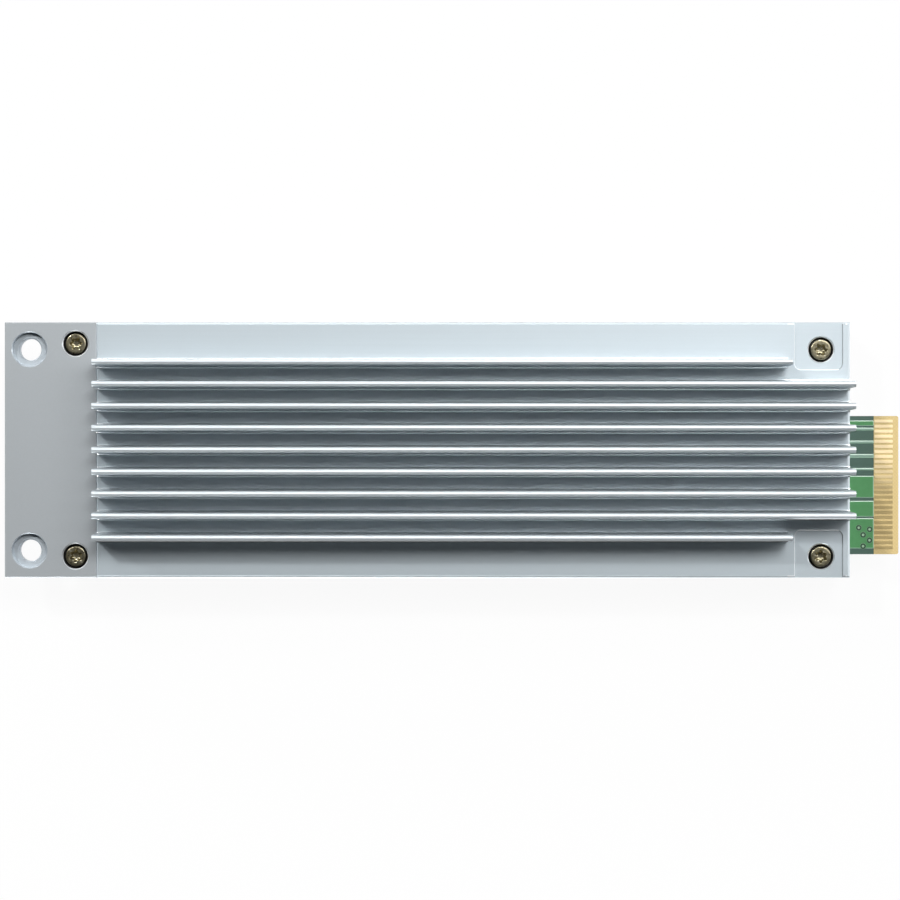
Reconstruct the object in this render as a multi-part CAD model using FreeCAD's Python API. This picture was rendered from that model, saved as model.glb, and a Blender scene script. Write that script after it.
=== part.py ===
import FreeCAD, Part
import math
import os
from FreeCAD import Vector

# A ruler-shaped solid-state drive module with a finned heatsink cover.
# Lengths are in millimetres. While it is modelled, x runs from 0 at the front end towards the
# card edge, y runs across from the centre line, and z runs up from the flat underside.

# Overall sizes
overall_length = 118.75
overall_width = 33.75
overall_height = 15.0
case_height = 9.5
tab_reach = 7.08

# Front bracket, a thick plate whose front part overhangs the space for a latch
plate_thickness = 2.4
bracket_length = 12.17
latch_space = 7.26
edge_break = 0.12

# Latch holes in the bracket, each with a flat seat for its screw's head
latch_hole_from_front = 3.26
latch_hole_spacing = 26.6
latch_hole_diameter = 2.88
latch_hole_break = 0.1
latch_seat_diameter = 4.5
latch_seat_depth = 0.95
latch_seat_break = 0.12

# Base shell
side_wall = 1.0
front_wall = 1.25
rear_wall = 1.0
floor = 1.2
edge_chamfer = 0.3
cavity_corner_radius = 0.6

# Fins, which run along the cover; the outermost two stop short of the rear screws
fin_count = 9
fin_pitch = 2.87
fin_tip_thickness = 0.8
fin_root_thickness = 0.95
fin_root_fillet = 0.25
outer_fin_setback = 8.22

# Shallow recess that is milled round each rear screw, open to the long edge
recess_setback = 0.92
recess_length = 6.46
recess_fin_gap = 1.2
recess_depth = 0.25
recess_wall_run = 0.12
recess_corner_radius = 0.9

# Screws and their seats; the pairs of insets are upper side, then lower side
front_screw_from_front = 9.34
front_screw_insets = (2.83, 2.83)
rear_screw_from_end = 3.81
rear_screw_insets = (3.62, 2.78)
screw_diameter = 2.0
screw_length = 6.0
screw_tip_chamfer = 0.3
head_diameter = 2.73
head_height = 0.9
head_edge_chamfer = 0.25
socket_lobe_diameter = 1.73
socket_valley_diameter = 1.22
socket_depth = 0.5
lobe_count = 6
counterbore_diameter = 3.23
counterbore_chamfer = 0.2
seat_depth = 1.2
screw_clearance = 0.1
boss_wall = 0.9
boss_bore_extra_depth = 0.6

# Circuit board with its card edge
board_thickness = 1.57
board_mid_height = 4.75
board_side_clearance = 0.125
board_end_clearance = 0.3
board_notch_clearance = 0.3
tab_upper_edge = 4.54
tab_lower_edge = -13.92
tab_corner_chamfer = 0.15
tip_bevel_length = 0.8
tip_bevel_depth = 0.35
slot_clearance = 0.4

# Card-edge contacts
contact_count = 26
contact_pitch = 0.675
contact_width = 0.39
contact_length = 2.45
contact_from_tip = 0.8
contact_thickness = 0.04
contact_row_from_upper_edge = 0.69

# Lips and tabs that seat the pieces in each other
lip_depth = 0.8
lip_thickness = 0.8
lip_clearance = 0.1
tongue_length = 1.4
tongue_thickness = 0.65
tongue_clearance = 0.05
tongue_side_inset = 1.3
support_stations = (24.5, 54.0, 79.0, 101.5)
support_length = 3.0
support_width = 1.0

# Chips, as length, width and height
controller_size = (16.0, 16.0, 1.2)
flash_size = (18.0, 12.0, 1.2)
memory_size = (7.5, 11.0, 1.0)
power_chip_size = (5.0, 5.0, 0.9)
firmware_chip_size = (6.0, 5.0, 0.8)
inductor_size = (4.1, 4.1, 1.2)
capacitor_size = (7.3, 4.3, 1.9)
crystal_size = (3.2, 2.5, 0.8)
lamp_size = (1.6, 0.8, 0.6)
small_capacitor_size = (1.0, 0.5, 0.5)
package_edge_chamfer = 0.12
package_foot = 0.25
package_foot_step = 0.08

# Places on the board, from the front end and from the centre line
controller_place = (36.0, 0.0)
memory_station = 51.5
memory_offset = 7.2
flash_stations = (69.0, 89.0)
flash_offset = 7.2
power_chip_place = (17.0, 8.6)
inductor_station = 15.5
inductor_offsets = (-9.5, -3.8, 1.9)
capacitor_stations = (17.5, 26.5, 35.5, 44.5)
capacitor_offset = 7.4
crystal_place = (24.2, 6.2)
firmware_chip_place = (23.6, -11.4)
controller_row_offset = 10.4
controller_row_count = 9
controller_row_pitch = 1.9
coupling_row_setback = 2.8
coupling_row_count = 8
coupling_row_pitch = 1.6

# Thermal pads, which are as large as the chips that they cover, and the room over other parts
pad_thickness = 0.5
part_headroom = 0.3

# Status lamps and the light pipe that carries them to the front
lamp_offset = 2.5
window_diameter = 1.5
window_clearance = 0.05
pipe_body_length = 1.3
pipe_body_height = 1.6
pipe_body_side = 1.2
pipe_below_board = 0.15
pipe_setback = 0.05
lamp_gap = 0.2

# Sizes that follow from the values above
case_length = overall_length - tab_reach
underside = case_height - plate_thickness
half_width = overall_width / 2
screw_seat_height = case_height - seat_depth
board_top = board_mid_height + board_thickness / 2
board_bottom = board_mid_height - board_thickness / 2
board_front = latch_space + front_wall + board_end_clearance
board_half_width = half_width - side_wall - board_side_clearance
boss_diameter = screw_diameter + 2 * screw_clearance + 2 * boss_wall
rear_screw_from_front = case_length - rear_screw_from_end
board_shoulder = rear_screw_from_front - boss_diameter / 2 - board_notch_clearance
fin_centres = [(i - (fin_count - 1) / 2) * fin_pitch for i in range(fin_count)]
fin_foot = fin_root_thickness / 2 + fin_root_fillet
outer_fin_end = case_length - outer_fin_setback
recess_inner_edge = fin_centres[-2] + fin_foot + recess_fin_gap
recess_end = case_length - recess_setback
recess_start = recess_end - recess_length
screw_places = [
    (front_screw_from_front, half_width - front_screw_insets[0], case_height),
    (front_screw_from_front, front_screw_insets[1] - half_width, case_height),
    (rear_screw_from_front, half_width - rear_screw_insets[0], case_height - recess_depth),
    (rear_screw_from_front, rear_screw_insets[1] - half_width, case_height - recess_depth),
]


# Plain shapes

def block(x0, x1, y0, y1, z0, z1):
    return Part.makeBox(x1 - x0, y1 - y0, z1 - z0, Vector(x0, y0, z0))


def centred_block(x, y, length, width, z0, z1):
    return block(x - length / 2, x + length / 2, y - width / 2, y + width / 2, z0, z1)


def rod(x, y, z0, z1, diameter):
    return Part.makeCylinder(diameter / 2, z1 - z0, Vector(x, y, z0))


def cone(x, y, z0, z1, lower_diameter, upper_diameter):
    return Part.makeCone(lower_diameter / 2, upper_diameter / 2, z1 - z0, Vector(x, y, z0))


def line(start, end):
    return Part.LineSegment(Vector(*start), Vector(*end)).toShape()


def arc(start, middle, end):
    return Part.Arc(Vector(*start), Vector(*middle), Vector(*end)).toShape()


def prism(edges, direction):
    return Part.Face(Part.Wire(edges)).extrude(Vector(*direction))


def chamfered(shape, size, wanted):
    return shape.makeChamfer(size, [edge for edge in shape.Edges if wanted(edge.BoundBox)])


def near(a, b):
    return abs(a - b) < 1e-6


def rounded_outline(x0, x1, y0, y1, z, radius):
    """A rectangle with round corners, as one closed wire at height z."""
    bend = radius * (1 - math.sqrt(0.5))
    corners = [
        ((x1 - radius, y0), (x1 - bend, y0 + bend), (x1, y0 + radius)),
        ((x1, y1 - radius), (x1 - bend, y1 - bend), (x1 - radius, y1)),
        ((x0 + radius, y1), (x0 + bend, y1 - bend), (x0, y1 - radius)),
        ((x0, y0 + radius), (x0 + bend, y0 + bend), (x0 + radius, y0)),
    ]
    edges = []
    for i, corner in enumerate(corners):
        last_end = corners[i - 1][2]
        edges.append(line((*last_end, z), (*corner[0], z)))
        edges.append(arc(*[(*point, z) for point in corner]))
    return Part.Wire(edges)


def rounded_block(x0, x1, y0, y1, z0, z1, radius):
    outline = rounded_outline(x0, x1, y0, y1, z0, radius)
    return Part.Face(outline).extrude(Vector(0, 0, z1 - z0))


def save(name, shape):
    """Moves the piece so that the origin is under the middle of the module, and writes it."""
    shape = shape.removeSplitter() if len(shape.Solids) == 1 else shape
    placed = shape.translated(Vector(-overall_length / 2, 0, 0))
    placed.exportStep(os.path.join("parts", name + ".step"))
    print(name, len(placed.Solids), "solid(s)", round(placed.Volume, 3), "mm3")


# Screws and the holes that they need

def rim_break(x, y, surface, diameter, size):
    """The cone that breaks a round hole's upper edge, to be cut away."""
    return cone(x, y, surface - size, surface, diameter, diameter + 2 * size)


def screw_seat(x, y, surface):
    """The counterbore, its chamfer and the clearance hole of one screw, to be cut away."""
    clearance_hole = rod(x, y, 0, surface, screw_diameter + 2 * screw_clearance)
    counterbore = rod(x, y, screw_seat_height, surface, counterbore_diameter)
    rim = rim_break(x, y, surface, counterbore_diameter, counterbore_chamfer)
    return clearance_hole.fuse([counterbore, rim])


def six_lobe_outline(z):
    """The driver socket's outline: round lobes joined by round valleys."""
    lobe = socket_lobe_diameter / 2
    valley = socket_valley_diameter / 2
    between = (lobe + valley) / 2
    step = 2 * math.pi / lobe_count

    def point(radius, turns):
        return (radius * math.cos(turns * step), radius * math.sin(turns * step), z)

    edges = []
    for i in range(lobe_count):
        edges.append(arc(point(between, i - 0.25), point(lobe, i), point(between, i + 0.25)))
        edges.append(arc(point(between, i + 0.25), point(valley, i + 0.5), point(between, i + 0.75)))
    return edges


def make_screw():
    """One screw on the z axis, its head seated at height 0."""
    head = rod(0, 0, 0, head_height, head_diameter)
    head = chamfered(head, head_edge_chamfer, lambda box: near(box.ZMin, head_height))
    socket = prism(six_lobe_outline(head_height - socket_depth), (0, 0, socket_depth))
    shank = rod(0, 0, -screw_length, 0, screw_diameter)
    shank = chamfered(shank, screw_tip_chamfer, lambda box: near(box.ZMax, -screw_length))
    return head.fuse(shank).removeSplitter().cut(socket)


def make_screws():
    screw = make_screw()
    return Part.makeCompound(
        [screw.translated(Vector(x, y, screw_seat_height)) for x, y, surface in screw_places]
    )


# Front bracket

def latch_hole(y):
    """A latch screw's through hole and flat seat, both with broken edges, to be cut away."""
    x = latch_hole_from_front
    seat_floor = case_height - latch_seat_depth
    hole = rod(x, y, underside, seat_floor, latch_hole_diameter)
    seat = rod(x, y, seat_floor, case_height, latch_seat_diameter)
    hole_rim = rim_break(x, y, seat_floor, latch_hole_diameter, latch_hole_break)
    seat_rim = rim_break(x, y, case_height, latch_seat_diameter, latch_seat_break)
    return hole.fuse([seat, hole_rim, seat_rim])


def make_front_bracket():
    plate = block(0, bracket_length, -half_width, half_width, underside, case_height)
    plate = chamfered(plate, edge_break, lambda box: near(box.ZMin, case_height))
    rib_start = latch_space + front_wall + lip_clearance
    rib_half = half_width - max(front_screw_insets) - boss_diameter / 2 - lip_clearance
    rib = block(rib_start, rib_start + lip_thickness, -rib_half, rib_half, underside - lip_depth, underside)
    rebate_half = half_width - tongue_side_inset + lip_clearance
    rebate = block(
        bracket_length - tongue_length - lip_clearance, bracket_length, -rebate_half, rebate_half,
        underside, underside + tongue_thickness + tongue_clearance,
    )
    holes = [latch_hole(side * latch_hole_spacing / 2) for side in (1, -1)]
    seats = [screw_seat(*place) for place in screw_places[:2]]
    return plate.fuse(rib).cut([rebate] + holes + seats)


# Heatsink cover

def fin_edges(centre, x):
    """One fin's outline, from its lower root fillet over the round tip to its upper root fillet."""
    root = fin_root_thickness / 2
    tip = fin_tip_thickness / 2
    bend = fin_root_fillet * (1 - math.sqrt(0.5))
    root_height = case_height + fin_root_fillet
    tip_height = overall_height - tip
    return [
        arc(
            (x, centre - fin_foot, case_height), (x, centre - root - bend, case_height + bend),
            (x, centre - root, root_height),
        ),
        line((x, centre - root, root_height), (x, centre - tip, tip_height)),
        arc(
            (x, centre - tip, tip_height), (x, centre, overall_height),
            (x, centre + tip, tip_height),
        ),
        line((x, centre + tip, tip_height), (x, centre + root, root_height)),
        arc(
            (x, centre + root, root_height), (x, centre + root + bend, case_height + bend),
            (x, centre + fin_foot, case_height),
        ),
    ]


def channel_limits():
    """The flat strips between the fins and beside them, as pairs of y values."""
    starts = [-half_width] + [centre + fin_foot for centre in fin_centres]
    ends = [centre - fin_foot for centre in fin_centres] + [half_width]
    return list(zip(starts, ends))


def extruded_cover():
    """The plate and its fins, drawn as one cross-section and pulled along x."""
    x = bracket_length
    strips = channel_limits()
    shoulder = case_height - edge_chamfer
    edges = [
        line((x, half_width, underside), (x, -half_width, underside)),
        line((x, -half_width, underside), (x, -half_width, shoulder)),
        line((x, -half_width, shoulder), (x, edge_chamfer - half_width, case_height)),
        line((x, edge_chamfer - half_width, case_height), (x, strips[0][1], case_height)),
    ]
    for centre, strip in zip(fin_centres, strips[1:]):
        edges += fin_edges(centre, x)
        strip_end = min(strip[1], half_width - edge_chamfer)
        edges.append(line((x, strip[0], case_height), (x, strip_end, case_height)))
    edges += [
        line((x, half_width - edge_chamfer, case_height), (x, half_width, shoulder)),
        line((x, half_width, shoulder), (x, half_width, underside)),
    ]
    return prism(edges, (case_length - bracket_length, 0, 0))


def end_break(x, inward, size, y0, y1):
    """A wedge that breaks the plate's top edge at one end, between y0 and y1."""
    reach = size * inward
    edges = [
        line((x, y0, case_height), (x + reach, y0, case_height)),
        line((x + reach, y0, case_height), (x, y0, case_height - size)),
        line((x, y0, case_height - size), (x, y0, case_height)),
    ]
    return prism(edges, (0, y1 - y0, 0))


def end_breaks():
    """The broken edges between the fins, small at the bracket and larger at the rear end."""
    strips = channel_limits()
    wedges = [end_break(bracket_length, 1, edge_break, y0, y1) for y0, y1 in strips]
    rear_strips = [(strips[0][0], strips[1][1])] + strips[2:-2] + [(strips[-2][0], strips[-1][1])]
    wedges += [end_break(case_length, -1, edge_chamfer, y0, y1) for y0, y1 in rear_strips]
    return wedges


def outer_fin_trims():
    return [
        centred_block(
            case_length - outer_fin_setback / 2, centre,
            outer_fin_setback, 2 * fin_foot, case_height, overall_height,
        )
        for centre in (fin_centres[0], fin_centres[-1])
    ]


def screw_recess(side):
    """The shallow milled recess round a rear screw, with sloping walls."""
    outer = half_width + recess_corner_radius + recess_wall_run
    floor_height = case_height - recess_depth

    def outline(z, grow):
        low, high = sorted((side * (recess_inner_edge - grow), side * (outer + grow)))
        radius = recess_corner_radius + grow
        return rounded_outline(recess_start - grow, recess_end + grow, low, high, z, radius)

    return Part.makeLoft([outline(floor_height, -recess_wall_run), outline(case_height, 0)], True, True)


def board_grips():
    """Bars under the cover that fit inside the side walls, with tabs that hold the board down."""
    outer = half_width - side_wall - lip_clearance
    inner = outer - lip_thickness
    start = support_stations[0] - support_length
    end = support_stations[-1] + support_length / 2
    grips = []
    for side in (1, -1):
        low, high = sorted((side * inner, side * outer))
        grips.append(block(start, end, low, high, underside - lip_depth, underside))
        for station in support_stations:
            tab_start = station - support_length / 2
            grips.append(block(tab_start, tab_start + support_length, low, high, board_top, underside))
    return grips


def slot_bar():
    """The bar that closes the rear slot down to just above the board."""
    return block(
        case_length - rear_wall, case_length,
        tab_lower_edge - slot_clearance + lip_clearance, tab_upper_edge + slot_clearance - lip_clearance,
        board_top + slot_clearance, underside,
    )


def flash_block_size():
    return (flash_size[0], 2 * flash_offset + flash_size[1], flash_size[2])


def cooled_places():
    return [(controller_place, controller_size)] + [((x, 0), flash_block_size()) for x in flash_stations]


def contact_faces():
    """The faces over the cooled chips: pockets where the plate is too low, else pedestals."""
    pockets = []
    pedestals = []
    for (x, y), (length, width, height) in cooled_places():
        face = board_top + height + pad_thickness
        if face > underside:
            pockets.append(centred_block(x, y, length, width, underside, face))
        elif face < underside:
            pedestals.append(centred_block(x, y, length, width, face, underside))
    return pockets, pedestals


def part_reliefs():
    """Pockets over the uncooled parts that would come too near to the plate."""
    parts = [(power_chip_place, power_chip_size)]
    parts += [(place, inductor_size) for place in inductor_places()]
    parts += [((memory_station, side * memory_offset), memory_size) for side in (1, -1)]
    return [
        centred_block(x, y, length + 1, width + 1, underside, board_top + height + part_headroom)
        for (x, y), (length, width, height) in parts
        if board_top + height + part_headroom > underside
    ]


def make_heatsink_cover():
    tongue_half = half_width - tongue_side_inset
    tongue = block(
        bracket_length - tongue_length, bracket_length, -tongue_half, tongue_half,
        underside, underside + tongue_thickness,
    )
    pockets, pedestals = contact_faces()
    cuts = outer_fin_trims() + end_breaks() + pockets + part_reliefs()
    cuts += [screw_recess(side) for side in (1, -1)]
    cuts += [screw_seat(*place) for place in screw_places[2:]]
    return extruded_cover().fuse([tongue, slot_bar()] + board_grips() + pedestals).cut(cuts)


# Base shell

def screw_boss(x, y):
    """A screw boss that stands on the floor and is tied to the nearest side wall."""
    side = 1 if y > 0 else -1
    wall = side * (half_width - side_wall / 2)
    low, high = sorted((y, wall))
    web = block(x - boss_wall, x + boss_wall, low, high, floor / 2, underside)
    return rod(x, y, floor / 2, underside, boss_diameter).fuse(web)


def boss_bore(x, y):
    bottom = screw_seat_height - screw_length - boss_bore_extra_depth
    return rod(x, y, bottom, underside, screw_diameter + 2 * screw_clearance)


def board_ledges():
    inner = half_width - side_wall
    ledges = []
    for side in (1, -1):
        low, high = sorted((side * (inner - support_width), side * (inner + side_wall / 2)))
        for station in support_stations:
            start = station - support_length / 2
            ledges.append(block(start, start + support_length, low, high, floor / 2, board_bottom))
    return ledges


def flash_pedestal(x):
    length, width, height = flash_block_size()
    top = board_bottom - height - pad_thickness
    return centred_block(x, 0, length, width, floor / 2, top)


def rear_slot():
    return block(
        case_length - rear_wall, case_length,
        tab_lower_edge - slot_clearance, tab_upper_edge + slot_clearance,
        board_bottom - slot_clearance, underside,
    )


def lamp_window_height():
    return board_bottom - pipe_below_board - pipe_body_height / 2


def front_window(y):
    return Part.makeCylinder(
        window_diameter / 2 + window_clearance, front_wall,
        Vector(latch_space, y, lamp_window_height()), Vector(1, 0, 0),
    )


def make_base_shell():
    shell = block(latch_space, case_length, -half_width, half_width, 0, underside)
    shell = chamfered(shell, edge_chamfer, lambda box: near(box.ZMax, 0))
    cavity = rounded_block(
        latch_space + front_wall, case_length - rear_wall,
        side_wall - half_width, half_width - side_wall, floor, underside, cavity_corner_radius,
    )
    stands = [screw_boss(x, y) for x, y, surface in screw_places]
    stands += board_ledges()
    stands += [flash_pedestal(x) for x in flash_stations]
    cuts = [boss_bore(x, y) for x, y, surface in screw_places]
    cuts.append(rear_slot())
    cuts += [front_window(side * lamp_offset) for side in (1, -1)]
    return shell.cut(cavity).fuse(stands).cut(cuts)


# Circuit board and its contacts

def make_circuit_board():
    body = block(board_front, board_shoulder, -board_half_width, board_half_width, board_bottom, board_top)
    tab = block(board_shoulder, overall_length, tab_lower_edge, tab_upper_edge, board_bottom, board_top)
    tab = chamfered(
        tab, tab_corner_chamfer,
        lambda box: near(box.XMin, overall_length) and near(box.YLength, 0),
    )
    outline = body.fuse(tab).removeSplitter()
    notch_diameter = boss_diameter + 2 * board_notch_clearance
    notches = [rod(x, y, board_bottom, board_top, notch_diameter) for x, y, surface in screw_places]
    return outline.cut(notches + tip_bevels())


def tip_bevels():
    wedges = []
    for face, inward in ((board_top, -1), (board_bottom, 1)):
        tip = overall_length
        edges = [
            line((tip - tip_bevel_length, tab_lower_edge, face), (tip, tab_lower_edge, face)),
            line((tip, tab_lower_edge, face), (tip, tab_lower_edge, face + inward * tip_bevel_depth)),
            line(
                (tip, tab_lower_edge, face + inward * tip_bevel_depth),
                (tip - tip_bevel_length, tab_lower_edge, face),
            ),
        ]
        wedges.append(prism(edges, (0, tab_upper_edge - tab_lower_edge, 0)))
    return wedges


def make_contacts(z0):
    end = overall_length - contact_from_tip
    first = tab_upper_edge - contact_row_from_upper_edge
    return Part.makeCompound([
        centred_block(
            end - contact_length / 2, first - i * contact_pitch,
            contact_length, contact_width, z0, z0 + contact_thickness,
        )
        for i in range(contact_count)
    ])


# Parts that stand on the board

def package(place, size, top_side=True):
    """A moulded chip: a thin foot under a body with broken top edges."""
    length, width, height = size
    x, y = place
    foot = centred_block(x, y, length, width, 0, package_foot)
    inset = 2 * package_foot_step
    body = centred_block(x, y, length - inset, width - inset, package_foot, height)
    body = chamfered(body, package_edge_chamfer, lambda box: near(box.ZMin, height))
    chip = foot.fuse(body)
    return on_board(chip, top_side)


def plain_part(place, size, top_side=True):
    """A small two-ended part: a block with all its upright edges and its top edges broken."""
    length, width, height = size
    x, y = place
    body = centred_block(x, y, length, width, 0, height)
    body = chamfered(body, package_edge_chamfer, lambda box: box.ZMax > 0)
    return on_board(body, top_side)


def wound_inductor(place, size):
    """A moulded inductor with clipped corners."""
    length, width, height = size
    x, y = place
    corner = package_edge_chamfer * 4
    body = centred_block(x, y, length, width, 0, height)
    body = chamfered(body, corner, lambda box: near(box.XLength, 0) and near(box.YLength, 0))
    body = chamfered(body, package_edge_chamfer, lambda box: near(box.ZMin, height))
    return on_board(body, True)


def on_board(shape, top_side):
    if top_side:
        return shape.translated(Vector(0, 0, board_top))
    turned = shape.mirror(Vector(0, 0, 0), Vector(0, 0, 1))
    return turned.translated(Vector(0, 0, board_bottom))


def inductor_places():
    return [(inductor_station, y) for y in inductor_offsets]


def controller_rows():
    x, y = controller_place
    length, width, height = small_capacitor_size
    rows = []
    for side in (1, -1):
        for i in range(controller_row_count):
            station = x + (i - (controller_row_count - 1) / 2) * controller_row_pitch
            rows.append(centred_block(station, side * controller_row_offset, length, width, 0, height))
    return rows


def coupling_row():
    length, width, height = small_capacitor_size
    middle = (tab_upper_edge + tab_lower_edge) / 2
    row = []
    for i in range(coupling_row_count):
        y = middle + (i - (coupling_row_count - 1) / 2) * coupling_row_pitch
        row.append(centred_block(board_shoulder - coupling_row_setback, y, length, width, 0, height))
    return row


def make_small_capacitors():
    return on_board(Part.makeCompound(controller_rows() + coupling_row()), True)


# Thermal pads

def top_pad(place, size):
    x, y = place
    z0 = board_top + size[2]
    return centred_block(x, y, size[0], size[1], z0, z0 + pad_thickness)


def bottom_pad(place, size):
    x, y = place
    z1 = board_bottom - size[2]
    return centred_block(x, y, size[0], size[1], z1 - pad_thickness, z1)


# Light pipe

def make_light_pipe():
    """One clear moulding: a bar behind the front wall with a round nose through each window."""
    back = latch_space + front_wall
    top = board_bottom - pipe_below_board
    half = lamp_offset + pipe_body_side
    bar = block(back, back + pipe_body_length, -half, half, top - pipe_body_height, top)
    noses = [
        Part.makeCylinder(
            window_diameter / 2, front_wall - pipe_setback,
            Vector(latch_space + pipe_setback, side * lamp_offset, lamp_window_height()),
            Vector(1, 0, 0),
        )
        for side in (1, -1)
    ]
    return bar.fuse(noses)


def lamp_place(side):
    station = latch_space + front_wall + pipe_body_length + lamp_gap + lamp_size[0] / 2
    return (station, side * lamp_offset)


# All the pieces

def build():
    os.makedirs("parts", exist_ok=True)
    save("heatsink_cover", make_heatsink_cover())
    save("base_shell", make_base_shell())
    save("front_bracket", make_front_bracket())
    save("cover_screws", make_screws())
    save("circuit_board", make_circuit_board())
    save("contacts_top", make_contacts(board_top))
    save("contacts_bottom", make_contacts(board_bottom - contact_thickness))
    save("light_pipe", make_light_pipe())
    save("status_lamp_upper", plain_part(lamp_place(1), lamp_size, top_side=False))
    save("status_lamp_lower", plain_part(lamp_place(-1), lamp_size, top_side=False))
    save("controller_chip", package(controller_place, controller_size))
    save("power_chip", package(power_chip_place, power_chip_size))
    save("firmware_chip", package(firmware_chip_place, firmware_chip_size))
    save("clock_crystal", plain_part(crystal_place, crystal_size))
    save("small_capacitors", make_small_capacitors())

    for side, name in ((1, "upper"), (-1, "lower")):
        save(f"memory_chip_{name}", package((memory_station, side * memory_offset), memory_size))

    flash_places = [(x, side * flash_offset) for x in flash_stations for side in (1, -1)]
    for number, place in enumerate(flash_places, 1):
        save(f"flash_chip_top_{number}", package(place, flash_size))
        save(f"flash_chip_bottom_{number}", package(place, flash_size, top_side=False))

    for number, place in enumerate(inductor_places(), 1):
        save(f"power_inductor_{number}", wound_inductor(place, inductor_size))

    capacitor_places = [(x, side * capacitor_offset) for x in capacitor_stations for side in (1, -1)]
    for number, place in enumerate(capacitor_places, 1):
        save(f"holdup_capacitor_{number}", plain_part(place, capacitor_size, top_side=False))

    save("thermal_pad_controller", top_pad(controller_place, controller_size))
    for number, x in enumerate(flash_stations, 1):
        save(f"thermal_pad_top_{number}", top_pad((x, 0), flash_block_size()))
        save(f"thermal_pad_bottom_{number}", bottom_pad((x, 0), flash_block_size()))


build()
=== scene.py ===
# %% [markdown]
# A ruler-shaped drive module in Blender.
# The module is a flat metal case with nine long cooling fins, a grey bracket at the front end and a
# green board that comes out at the rear end. Its construction is already made in CAD. This lesson
# loads that model as a fixed frame and gives it its looks: the light, a finish for every piece, and
# the small pieces that are better modelled here, such as the screws and the board's copper lanes.

import math

import bmesh
import bpy
from mathutils import Matrix, Vector


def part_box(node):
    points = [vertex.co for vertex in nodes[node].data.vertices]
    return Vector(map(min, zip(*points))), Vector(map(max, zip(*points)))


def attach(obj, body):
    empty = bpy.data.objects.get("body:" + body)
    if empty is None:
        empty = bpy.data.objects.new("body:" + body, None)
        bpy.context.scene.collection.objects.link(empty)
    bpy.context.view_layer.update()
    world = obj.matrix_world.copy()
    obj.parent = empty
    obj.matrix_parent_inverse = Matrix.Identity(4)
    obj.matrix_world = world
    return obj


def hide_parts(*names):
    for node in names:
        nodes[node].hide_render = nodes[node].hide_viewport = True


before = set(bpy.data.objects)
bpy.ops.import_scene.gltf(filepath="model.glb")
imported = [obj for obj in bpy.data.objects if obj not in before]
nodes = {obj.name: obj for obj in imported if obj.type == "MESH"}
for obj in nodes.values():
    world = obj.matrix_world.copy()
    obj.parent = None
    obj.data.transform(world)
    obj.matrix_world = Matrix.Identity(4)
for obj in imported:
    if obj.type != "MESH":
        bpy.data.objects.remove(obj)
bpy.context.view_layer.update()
MM = 0.001

# %% [markdown]
# The camera looks straight down, with the fins running from left to right. The fins lean outwards
# in the picture, so the view has perspective: a long lens at about three times the module's length.
# The picture is square, so the sensor's width and the lens give the frame in both directions.

# %% Camera
CAMERA_HEIGHT = 364.5 * MM
CAMERA_OFFSET = -0.555 * MM
CAMERA_LENS = 107.5
SENSOR_WIDTH = 36.0

camera_data = bpy.data.cameras.new("camera")
camera_data.lens = CAMERA_LENS
camera_data.sensor_width = SENSOR_WIDTH
camera_data.clip_start = 0.01
camera = bpy.data.objects.new("camera", camera_data)
camera.location = (CAMERA_OFFSET, 0, CAMERA_HEIGHT)
bpy.context.scene.collection.objects.link(camera)
bpy.context.scene.camera = camera
print("camera", round(CAMERA_HEIGHT, 4), "m above the floor")

# %% [markdown]
# The light is a plain studio. Soft lamps stand two metres away, so that they light the whole length
# of the module evenly. Most of them are on the far side: each fin then shows a bright upper edge and
# shades the channel below it. Nothing bright hangs straight above, because polished flat pieces
# would mirror it to the camera.

# %% Light
LAMP_DISTANCE = 2.0
WORLD_STRENGTH = 0.018

scene = bpy.context.scene
scene.view_settings.view_transform = "Standard"


def add_lamp(name, azimuth, elevation, size, power):
    """An area lamp that looks at the module's middle. Azimuth 90 is the far side, +Y."""
    lamp_data = bpy.data.lights.new(name, "AREA")
    lamp_data.shape = "RECTANGLE"
    lamp_data.size, lamp_data.size_y = size
    lamp_data.energy = power
    lamp = bpy.data.objects.new(name, lamp_data)
    turn, rise = math.radians(azimuth), math.radians(elevation)
    direction = Vector((math.cos(turn) * math.cos(rise), math.sin(turn) * math.cos(rise), math.sin(rise)))
    lamp.location = direction * LAMP_DISTANCE
    lamp.rotation_euler = direction.to_track_quat("Z", "Y").to_euler()
    scene.collection.objects.link(lamp)
    return lamp


lamps = [
    add_lamp("lamp_key", 62, 63, (0.65, 0.65), 17.5),
    add_lamp("lamp_right", 30, 42, (1.0, 0.8), 17.0),
    add_lamp("lamp_left", 135, 50, (0.15, 0.15), 16.0),
    add_lamp("lamp_left_low", 150, 25, (0.25, 0.25), 10.0),
    add_lamp("lamp_far_left_low", 120, 20, (0.5, 0.3), 8.0),
    add_lamp("lamp_far_low", 90, 18, (0.9, 0.3), 5.0),
    add_lamp("lamp_front_low", -100, 2, (0.9, 0.1), 15.0),
    add_lamp("lamp_right_edge", 8, 7, (0.5, 0.2), 8.0),
]

world = bpy.data.worlds.new("world")
world.use_nodes = True
world.node_tree.nodes["Background"].inputs["Color"].default_value = (1, 1, 1, 1)
world.node_tree.nodes["Background"].inputs["Strength"].default_value = WORLD_STRENGTH
scene.world = world
print(len(lamps), "lamps,", sum(lamp.data.energy for lamp in lamps), "W in all")

# %% [markdown]
# The floor is a pale sheet. Seen by the camera, or mirrored in metal or glass, it mostly glows at a
# strength of 1, which is white; the rest of it is plain matt white that still takes the module's
# shadow. The glow is switched by the Light Path node, so it lights nothing.

# %% Floor
FLOOR_SIZE = 4.0
FLOOR_GLOW_SHARE = 0.94


def add_node(tree, kind, **settings):
    """Adds a shader node and sets the named settings on it."""
    node = tree.nodes.new(kind)
    for setting, value in settings.items():
        setattr(node, setting, value)
    return node


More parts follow.
